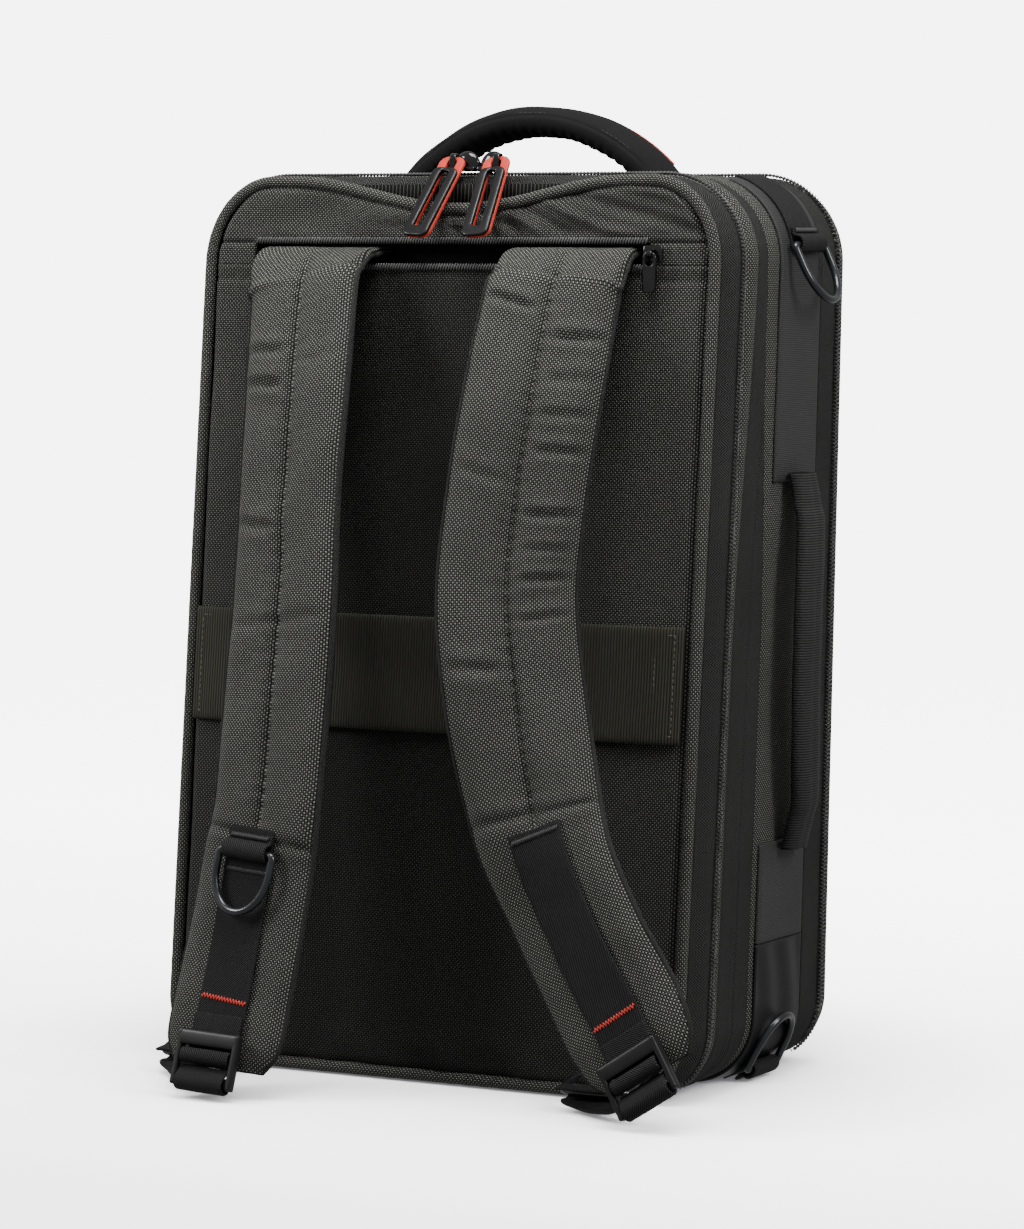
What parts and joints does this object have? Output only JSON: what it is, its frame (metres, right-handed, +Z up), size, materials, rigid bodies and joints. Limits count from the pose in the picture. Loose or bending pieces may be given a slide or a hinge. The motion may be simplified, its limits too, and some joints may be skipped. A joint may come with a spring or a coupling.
{
  "type": "travel backpack",
  "caption": "Boxy carry-on laptop backpack with padded shoulder straps, top and side handles, luggage band, zip pullers and D-rings.",
  "frame": {"origin": "centre of the base panel, on the floor", "axes": "+Z up, +Y from the wearer's side (back panel and shoulder straps) towards the front pocket, +X towards the side with the side handle and the side D-rings"},
  "size_m": [0.3261, 0.2883, 0.4738],
  "materials": {
    "charcoal_cloth": "coarse charcoal nylon weave",
    "smooth_cloth": "smooth grey nylon",
    "black_cloth": "black zip tape, lining and coated base cloth",
    "black_webbing": "black woven webbing",
    "band_webbing": "dark ribbed webbing",
    "black_plastic": "matte moulded plastic",
    "gloss_plastic": "glossy black coated sliders and pulls",
    "black_metal": "satin black metal",
    "red_rubber": "coral red soft plastic"
  },
  "bodies": {
    "bag": {"back_panel": "charcoal_cloth", "back_piping": "charcoal_cloth", "base_panel": "black_cloth", "base_patch_left": "black_cloth", "base_patch_right": "black_cloth", "expansion_tape_band": "black_cloth", "front_panel": "charcoal_cloth", "front_pocket": "charcoal_cloth", "grey_strip_band": "charcoal_cloth", "laptop_tape_band": "black_cloth", "laptop_zip_chain": "black_plastic", "left_adjuster": "black_webbing", "left_base_loop": "black_webbing", "left_buckle": "black_plastic", "left_hook": "black_plastic", "left_strap": "charcoal_cloth", "left_strap_webbing": "black_webbing", "lower_ring_tab": "black_webbing", "luggage_band": "band_webbing", "main_tape_band": "black_cloth", "main_zip_chain": "black_plastic", "pocket_coil_lower": "black_plastic", "pocket_coil_upper": "black_plastic", "pocket_slider": "gloss_plastic", "right_adjuster": "black_webbing", "right_base_loop": "black_webbing", "right_buckle": "black_plastic", "right_hook": "black_plastic", "right_strap": "charcoal_cloth", "right_strap_webbing": "black_webbing", "side_gusset": "charcoal_cloth", "side_handle": "black_webbing", "side_patch_lower": "smooth_cloth", "side_patch_upper": "smooth_cloth", "slider_left": "gloss_plastic", "slider_right": "gloss_plastic", "strap_pocket": "black_cloth", "strap_ring_loop": "black_webbing", "top_handle": "black_cloth", "upper_ring_tab": "black_webbing"},
    "upper_ring": {"upper_ring": "black_metal"},
    "lower_ring": {"lower_ring": "black_metal"},
    "strap_ring": {"strap_ring": "black_metal"},
    "puller_left": {"puller_left": "black_plastic", "puller_left_core": "red_rubber"},
    "puller_right": {"puller_right": "black_plastic", "puller_right_core": "red_rubber"},
    "pocket_pull": {"pocket_pull": "gloss_plastic"}
  },
  "joints": [
    {"name": "upper_ring_swing", "type": "hinge", "parent": "bag", "child": "upper_ring", "pos_m": [0.15268, 0.03673, 0.40506], "axis": [0, 1, 0], "range_deg": [-100, 20]},
    {"name": "lower_ring_swing", "type": "hinge", "parent": "bag", "child": "lower_ring", "pos_m": [0.14174, 0.00993, 0.00646], "axis": [0, 1, 0], "range_deg": [0, 60]},
    {"name": "strap_ring_swing", "type": "hinge", "parent": "bag", "child": "strap_ring", "pos_m": [-0.05763, -0.14249, 0.11582], "axis": [-0.9907, 0.1203, 0.0636], "range_deg": [0, 110]},
    {"name": "puller_left_swing", "type": "hinge", "parent": "bag", "child": "puller_left", "pos_m": [-0.0095, -0.02576, 0.4467], "axis": [-1, 0, 0], "range_deg": [0, 110]},
    {"name": "puller_right_swing", "type": "hinge", "parent": "bag", "child": "puller_right", "pos_m": [0.0148, -0.02576, 0.4467], "axis": [-1, 0, 0], "range_deg": [0, 110]},
    {"name": "pocket_pull_swing", "type": "hinge", "parent": "bag", "child": "pocket_pull", "pos_m": [0.11, -0.04843, 0.401], "axis": [-1, 0, 0], "range_deg": [0, 110]}
  ]
}
